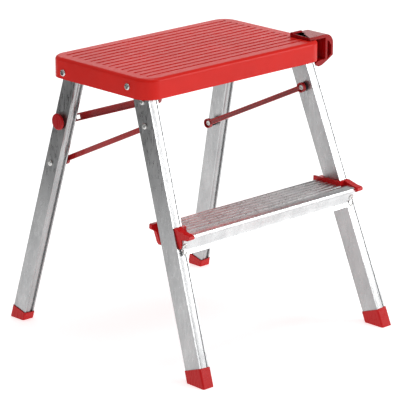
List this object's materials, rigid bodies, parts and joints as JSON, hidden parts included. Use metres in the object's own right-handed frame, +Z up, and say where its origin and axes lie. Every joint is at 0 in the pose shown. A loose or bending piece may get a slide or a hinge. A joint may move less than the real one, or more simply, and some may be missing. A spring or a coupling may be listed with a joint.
{
  "type": "folding two-step stool",
  "caption": "Folding two-step mounting stool: ribbed red platform on splayed aluminium legs, aluminium front step, side braces, lock button and side latch.",
  "frame": {"origin": "on the floor, at the middle of the standing stool's footprint box, side latch included", "axes": "+Z up; +X along the step, towards the side latch; +Y to the rear, so a rider climbs from -Y"},
  "size_m": [0.4616, 0.488, 0.4877],
  "materials": {
    "leg_aluminium": "drawn, lightly scuffed",
    "step_aluminium": "extruded, bright",
    "platform_red": "satin moulded",
    "cap_red": "moulded",
    "latch_red": "moulded",
    "button_red": "moulded",
    "brace_red": "powder coat",
    "rivet_steel": "bright zinc",
    "black_plastic": "moulded"
  },
  "bodies": {
    "front_frame": {"front_leg_left": "leg_aluminium", "front_pivot_liner_left": "black_plastic", "front_foot_left": "cap_red", "step_rivets_left": "rivet_steel", "step_end_cap_left": "cap_red", "brace_rivet_front_left": "rivet_steel", "brace_spacer_front_left": "black_plastic", "front_leg_right": "leg_aluminium", "front_pivot_liner_right": "black_plastic", "front_foot_right": "cap_red", "step_rivets_right": "rivet_steel", "step_end_cap_right": "cap_red", "brace_rivet_front_right": "rivet_steel", "brace_spacer_front_right": "black_plastic", "step_tread": "step_aluminium", "lock_bar_rivet": "rivet_steel", "lock_bar_spacer": "black_plastic", "stop_rivet_right": "rivet_steel"},
    "platform": {"platform_shell": "platform_red", "platform_ribs": "platform_red", "latch_screw": "rivet_steel", "front_pivot_rivet_left": "rivet_steel", "front_pivot_spacer_left": "black_plastic", "rear_pivot_rivet_left": "rivet_steel", "rear_pivot_spacer_left": "black_plastic", "front_pivot_rivet_right": "rivet_steel", "front_pivot_spacer_right": "black_plastic", "rear_pivot_rivet_right": "rivet_steel", "rear_pivot_spacer_right": "black_plastic"},
    "rear_leg_left_unit": {"rear_leg_left": "leg_aluminium", "rear_pivot_liner_left": "black_plastic", "rear_foot_left": "cap_red", "brace_rivet_rear_left": "rivet_steel", "brace_spacer_rear_left": "black_plastic", "button_housing": "button_red", "button_spring": "rivet_steel"},
    "rear_leg_right_unit": {"rear_leg_right": "leg_aluminium", "rear_pivot_liner_right": "black_plastic", "rear_foot_right": "cap_red", "brace_rivet_rear_right": "rivet_steel", "brace_spacer_rear_right": "black_plastic"},
    "brace_left_link": {"brace_left": "brace_red", "brace_pin_rear_left": "rivet_steel"},
    "brace_right_link": {"brace_right": "brace_red", "brace_pin_rear_right": "rivet_steel"},
    "lock_link": {"lock_bar": "brace_red"},
    "button_unit": {"lock_button": "button_red"},
    "latch_unit": {"side_latch": "latch_red"}
  },
  "joints": [
    {"name": "platform_fold", "type": "hinge", "parent": "front_frame", "child": "platform", "pos_m": [-0.0079, -0.0461, 0.4625], "axis": [1, 0, 0], "range_deg": [-82.5, 0]},
    {"name": "rear_leg_left_hinge", "type": "hinge", "parent": "platform", "child": "rear_leg_left_unit", "pos_m": [-0.0079, 0.1129, 0.456], "axis": [1, 0, 0], "range_deg": [0, 46.91]},
    {"name": "rear_leg_right_hinge", "type": "hinge", "parent": "platform", "child": "rear_leg_right_unit", "pos_m": [-0.0079, 0.1129, 0.456], "axis": [1, 0, 0], "range_deg": [0, 46.91]},
    {"name": "brace_left_hinge", "type": "hinge", "parent": "front_frame", "child": "brace_left_link", "pos_m": [-0.0079, -0.075, 0.4], "axis": [1, 0, 0], "range_deg": [-69.78, 0]},
    {"name": "brace_right_hinge", "type": "hinge", "parent": "front_frame", "child": "brace_right_link", "pos_m": [-0.0079, -0.075, 0.4], "axis": [1, 0, 0], "range_deg": [-69.78, 0]},
    {"name": "lock_bar_hinge", "type": "hinge", "parent": "front_frame", "child": "lock_link", "pos_m": [-0.0079, -0.0661, 0.4385], "axis": [1, 0, 0], "range_deg": [-71.03, 0]},
    {"name": "button_press", "type": "slide", "parent": "rear_leg_left_unit", "child": "button_unit", "axis": [1, 0, 0], "range_m": [0, 0.0026], "stiffness_N_per_m": 700, "springref_m": -0.002, "deforming": ["button_spring"]},
    {"name": "latch_slide", "type": "slide", "parent": "platform", "child": "latch_unit", "axis": [1, 0, 0], "range_m": [0, 0.008]}
  ],
  "couplings": [
    {"joint": "rear_leg_left_hinge", "follows": "platform_fold", "ratio": -0.5625},
    {"joint": "rear_leg_right_hinge", "follows": "platform_fold", "ratio": -0.5625},
    {"joint": "brace_left_hinge", "follows": "platform_fold", "ratio": 0.8398},
    {"joint": "brace_right_hinge", "follows": "platform_fold", "ratio": 0.8398},
    {"joint": "lock_bar_hinge", "follows": "platform_fold", "ratio": 0.8549}
  ]
}
